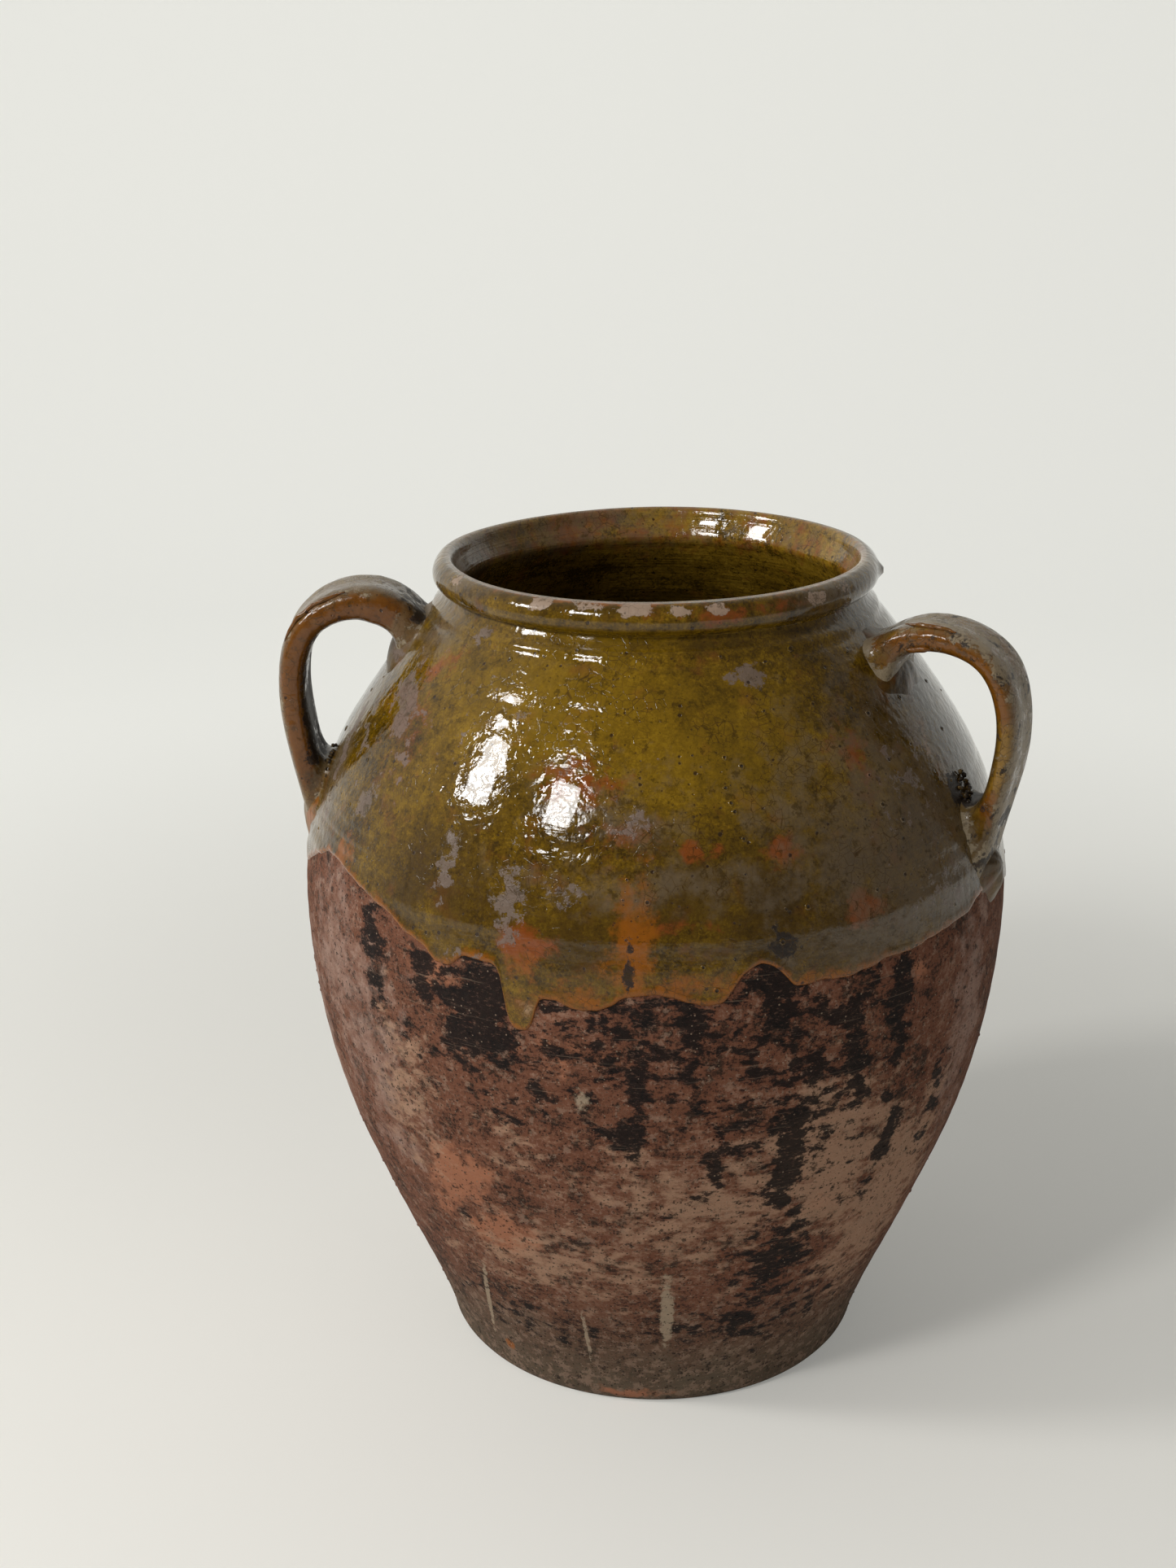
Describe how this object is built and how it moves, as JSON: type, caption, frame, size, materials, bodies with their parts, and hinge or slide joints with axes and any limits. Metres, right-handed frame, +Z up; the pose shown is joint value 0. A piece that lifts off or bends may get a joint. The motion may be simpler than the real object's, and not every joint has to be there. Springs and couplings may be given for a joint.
{
  "type": "olive jar",
  "caption": "Wide-mouthed earthenware storage jar with a rolled rim, a strap handle on each shoulder and a half-dipped glossy glaze over a bare clay foot.",
  "frame": {"origin": "centre of the foot's flat resting face, on the axis on which the jar was thrown", "axes": "+Z up through the mouth, -Y towards the viewer in the picture, +X to the viewer's right"},
  "size_m": [0.2819, 0.2734, 0.32],
  "materials": {
    "bare_clay": "rough red-brown terracotta, sooted and worn",
    "olive_glaze": "glossy olive and ochre lead glaze with pits and crazing",
    "inner_glaze": "glossy brown-green glaze with throwing rings",
    "handle_glaze": "glossy orange-brown glaze, worn grey",
    "pad_glaze": "glaze smeared thinly over finger-pressed clay"
  },
  "bodies": {
    "root": {"lower_wall": "bare_clay", "upper_wall": "bare_clay", "rim_collar": "bare_clay", "left_handle": "bare_clay", "right_handle": "bare_clay", "left_upper_pad": "pad_glaze", "left_lower_pad": "pad_glaze", "right_upper_pad": "pad_glaze", "right_lower_pad": "pad_glaze", "left_handle_glaze": "handle_glaze", "right_handle_glaze": "handle_glaze", "outer_glaze_coat": "olive_glaze", "inner_glaze_lining": "inner_glaze"}
  },
  "joints": []
}
